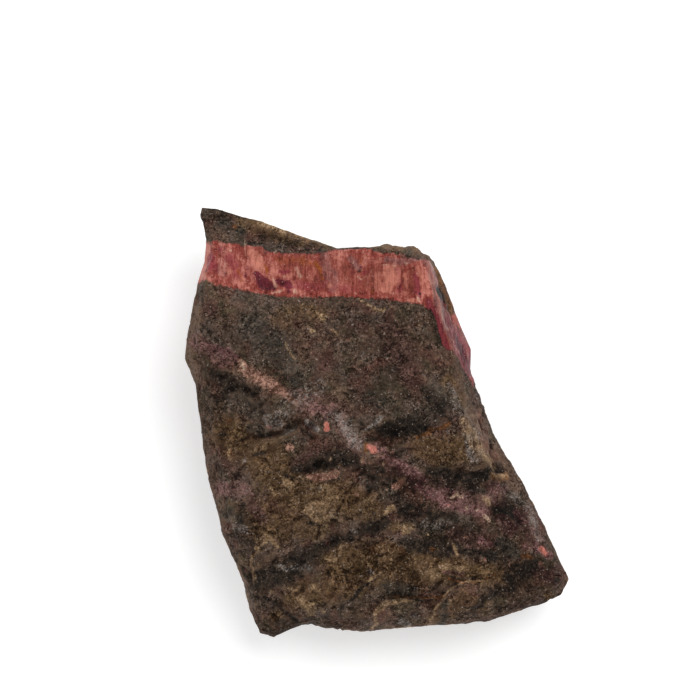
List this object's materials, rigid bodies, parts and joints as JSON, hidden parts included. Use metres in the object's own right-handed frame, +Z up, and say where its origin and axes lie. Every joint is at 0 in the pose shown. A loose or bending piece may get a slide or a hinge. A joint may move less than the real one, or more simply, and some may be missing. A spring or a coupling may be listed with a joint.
{
  "type": "rough rhodonite",
  "caption": "Broken piece of brown wall rock with a fibrous pink rhodonite vein across one end; lies flat on a table or shelf.",
  "frame": {"origin": "on the surface the stone rests on, under the middle of its bounding box", "axes": "+Z up from the resting face, +Y along the stone's longest side, towards the end that the pink vein crosses, +X across it"},
  "size_m": [0.062, 0.069, 0.0259],
  "materials": {
    "rough_stone": "rough broken surface, dull brown wall rock with a fibrous pink to red vein"
  },
  "bodies": {
    "root": {"rhodonite_stone": "rough_stone"}
  },
  "joints": []
}
